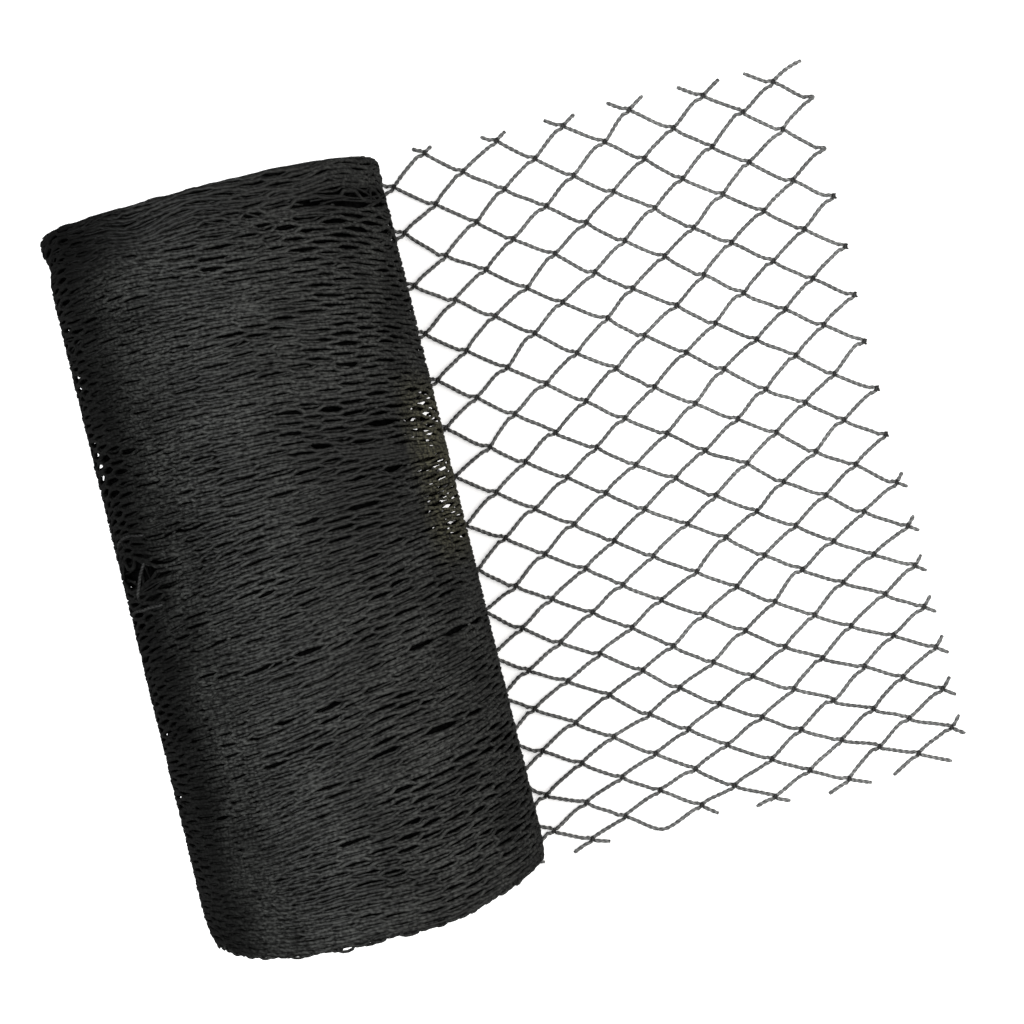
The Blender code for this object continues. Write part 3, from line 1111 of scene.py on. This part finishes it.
def balls(name, seats):
    """A ball of twenty faces on every seat, all in one mesh."""
    bm = bmesh.new()
    bmesh.ops.create_icosphere(bm, subdivisions=1, radius=0.5)
    bm.verts.index_update()
    corners = [vert.co.copy() for vert in bm.verts]
    sides = [[vert.index for vert in face.verts] for face in bm.faces]
    bm.free()
    points, faces = [], []
    for seat in seats:
        faces += [[len(points) + corner for corner in side] for side in sides]
        points += [seat @ corner for corner in corners]
    mesh = bpy.data.meshes.new(name)
    mesh.from_pydata(points, [], faces)
    mesh.shade_smooth()
    return mesh


seats = [
    knot_seat(index, column)
    for index in range(ROW_COUNT)
    for column in range(index % 2, KNOT_COLUMNS, 2)
]
lumps = balls("wound_net_knots", seats)
piece("wound_net_knots", lumps, wound_twine, "wound_net", "roll")

# %% [markdown]
# ### Stray strands
# Here and there a strand crosses the rows at a slant, most of all beside the head edge, where
# the net was gathered. They could be drawn by hand, but a steady random choice of place,
# length and slant spreads them evenly.

# %% Strands across the rows
stray_rng = random.Random(91)
STRAY_STEPS = 12
STRAY_DIP, STRAY_RISE = 1.1 * MM, 0.3 * MM


def stray(start_angle, start_y, reach, slope, bow, width=1 * MM, proud=0.25 * MM):
    """A strand that lies over the top layer."""
    points = []
    for step in range(STRAY_STEPS + 1):
        t = step / STRAY_STEPS
        angle = start_angle + reach * t
        y = start_y + slope * t + bow * sin(pi * t)
        y += row_shift(angle, start_y, 0)
        dip = STRAY_DIP * (2 * t - 1) ** 6
        rise = STRAY_RISE * wobble(7 * angle, y / (2 * MM), 0, 13)
        points.append(wound_point(angle, y, dip - rise - proud, 0))
    return [(point, width, 0) for point in points]


# All over the roll, then beside the head edge, in millimetres save for the reach in radians:
# from where to where along the roll, the reach, and the spread of the slant and of the bow.
STRAY_COUNT = 170
STRAYS = (((-150, 140), (0.22, 0.6), 2.4, 0.8), ((139, 158), (0.25, 0.85), 4.5, 1.5))
stray_runs = [
    stray(
        stray_rng.uniform(-pi, pi), stray_rng.uniform(*place) * MM, stray_rng.uniform(*reach),
        stray_rng.gauss(0, slant) * MM, stray_rng.gauss(0, bow) * MM,
    )
    for place, reach, slant, bow in STRAYS for _ in range(STRAY_COUNT)
]
wound_piece("stray_strands", wound_twine, stray_runs, sides=4, waist=0.12)

# A few loose strands cross the hole on the far side from the loose net.
CROSSED_WIDTH, CROSSED_PROUD = 1.55 * MM, 0.8 * MM
CROSSED = (
    (-1.13, 6.5, 0.2, 15, 0.5), (-1.36, 2.5, 0.5, -0.6, 0.4), (-1.3, 24, 0.44, 3, 1),
)
crossed_runs = [
    stray(at, along * MM, reach, slope * MM, bow * MM, CROSSED_WIDTH, CROSSED_PROUD)
    for at, along, reach, slope, bow in CROSSED
]
wound_piece("crossed_strands", pale_strand, crossed_runs, sides=6, waist=0.2)

# %% [markdown]
# ### The two ends
# From the end, the layers are a coil that dips a little to its eye. Rings would be easier,
# but two strands that wind in side by side draw the true coil. Where a diamond turns back at
# the net's edge, it leaves a small loop that stands proud.

# %% The coils
COIL_OUTER, COIL_EYE, COIL_PITCH, COIL_STEP = 68 * MM, 7 * MM, 2.8 * MM, 3.6 * MM
COIL_DISH, COIL_SET_BACK, COIL_LOW = 5 * MM, 1.5 * MM, 1.6 * MM
COIL_WIDTH, COIL_WAVE, COIL_SWAY = 1.45 * MM, 1.5 * MM, 0.9 * MM
ENDS = (1, -1)


def end_point(end, angle, radius, proud):
    """A point on an end face, which dips to its eye."""
    dish = COIL_DISH * max(0, 1 - radius / COIL_OUTER) ** 1.5
    y = end * (HALF_LENGTH - COIL_SET_BACK - dish + proud)
    y += drawn_up(angle, -HALF_LENGTH) * (radius / COIL_OUTER) ** 2 if end < 0 else 0
    z = AXIS_HEIGHT + radius * cos(angle)
    return Vector((radius * sin(angle), y, max(z, COIL_LOW)))


def coil(end, lead, seed):
    """One strand of the coil on an end face, from the rim to the eye."""
    run, angle, radius = [], lead, COIL_OUTER
    while radius > COIL_EYE:
        east, north = radius * sin(angle), radius * cos(angle)
        wave = wobble(east / (9 * MM), north / (9 * MM), radius / (3 * MM), seed)
        sway = COIL_SWAY * wobble(4 * angle, radius / (4 * MM), 0, seed + 1)
        run.append((end_point(end, angle, radius + sway, COIL_WAVE * wave), COIL_WIDTH, 0))
        turn = COIL_STEP / radius
        angle += turn
        radius -= COIL_PITCH * turn / tau
    return run


coil_runs = [coil(end, lead, 20 + end + lead) for end in ENDS for lead in (0, pi)]
wound_piece("coiled_ends", end_twine, coil_runs, sides=4, waist=0.1)

# %% The edge loops
LOOP_POINTS = 9
# A loop's reach along and out, in millimetres, and how much it stands up.
FACE_LOOP = ((2.2, 4), (0.9, 1.5), (0.3, 0.9))
RIM_LOOP = ((2.6, 4), (1.1, 1.7), (0.8, 1))
FACE_LOOPS, FACE_WIDTH, FACE_SPREAD = 230, 1.15 * MM, (0.03, 0.96)
RIM_LOOPS, RIM_WIDTH = 92, 1.45 * MM
loop_rng = random.Random(113)


def edge_loop(end, angle, radius, ranges, width, stands=0):
    """A small closed loop of twine on an end of the roll."""
    long_reach, wide_reach, lean = (loop_rng.uniform(*ends) for ends in ranges)
    proud = (0.1 + 1.7 * loop_rng.random() ** 2) * stands * MM if stands else 0
    run = []
    for index in range(LOOP_POINTS):
        around = tau * index / LOOP_POINTS
        along = long_reach * MM * cos(around)
        out = wide_reach * MM * sin(around)
        sunk = radius - out * (1 - lean)
        place = end_point(end, angle + along / radius, sunk, proud + out * lean)
        run.append((place, width, 0))
    return run


loop_runs = []
for end in ENDS:
    for _ in range(FACE_LOOPS):
        radius = COIL_OUTER * sqrt(loop_rng.uniform(*FACE_SPREAD))
        angle = loop_rng.uniform(-pi, pi)
        loop_runs.append(edge_loop(end, angle, radius, FACE_LOOP, FACE_WIDTH))

# Loops hang over the foot rim too, and stand out most where the rim is fullest.
for index in range(RIM_LOOPS):
    angle = tau * (index + loop_rng.uniform(-0.3, 0.3)) / RIM_LOOPS
    radius = ROLL_RADIUS * (share_at(angle, -HALF_LENGTH) + loop_rng.uniform(0.005, 0.03))
    stands = 0.25 + 0.75 * round_hump(angle, -18, 42)
    loop_runs.append(edge_loop(-1, angle, radius, RIM_LOOP, RIM_WIDTH, stands))
wound_piece("edge_loops", end_twine, loop_runs, sides=4, waist=0.1, closed=True)

# %% [markdown]
# ### The dark body
# Below the third layer no light comes back, so one spun solid stands for the rest. It sinks
# where the layers sink, and its ends are set back behind the coils.

# %% Body of the roll
BODY_DEPTH, BODY_SET_BACK, BODY_DISH = 2.7 * MM, 4 * MM, 6 * MM
BODY_SIDES, BODY_RINGS = 120, 90

body_bm = bmesh.new()
outline = [body_bm.verts.new((0, HALF_LENGTH - BODY_SET_BACK - BODY_DISH, 0))]
for ring in range(BODY_RINGS + 1):
    y = (HALF_LENGTH - BODY_SET_BACK) * (1 - 2 * ring / BODY_RINGS)
    outline.append(body_bm.verts.new((ROLL_RADIUS * share_at(0, y) - BODY_DEPTH, y, 0)))
outline.append(body_bm.verts.new((0, BODY_SET_BACK + BODY_DISH - HALF_LENGTH, 0)))
for first, second in zip(outline, outline[1:]):
    body_bm.edges.new((first, second))
bmesh.ops.spin(
    body_bm, geom=list(body_bm.verts) + list(body_bm.edges), cent=(0, 0, 0),
    axis=(0, 1, 0), angle=tau, steps=BODY_SIDES, use_merge=True,
)
bmesh.ops.remove_doubles(body_bm, verts=list(body_bm.verts), dist=0.001 * MM)
for vert in body_bm.verts:
    radius = hypot(vert.co.x, vert.co.z)
    if radius > MM:
        angle = atan2(vert.co.x, vert.co.z)
        sunk = 1 - hollow(angle, vert.co.y) / radius
        vert.co.x *= sunk
        vert.co.z *= sunk
        vert.co.y += drawn_up(angle, vert.co.y) * (radius / ROLL_RADIUS) ** 2
    vert.co.z = max(vert.co.z + AXIS_HEIGHT, BODY_DEPTH)
bmesh.ops.recalc_face_normals(body_bm, faces=list(body_bm.faces))
piece("wound_body", written(body_bm, "wound_body"), deep_shade_twine, "wound_net", "roll")
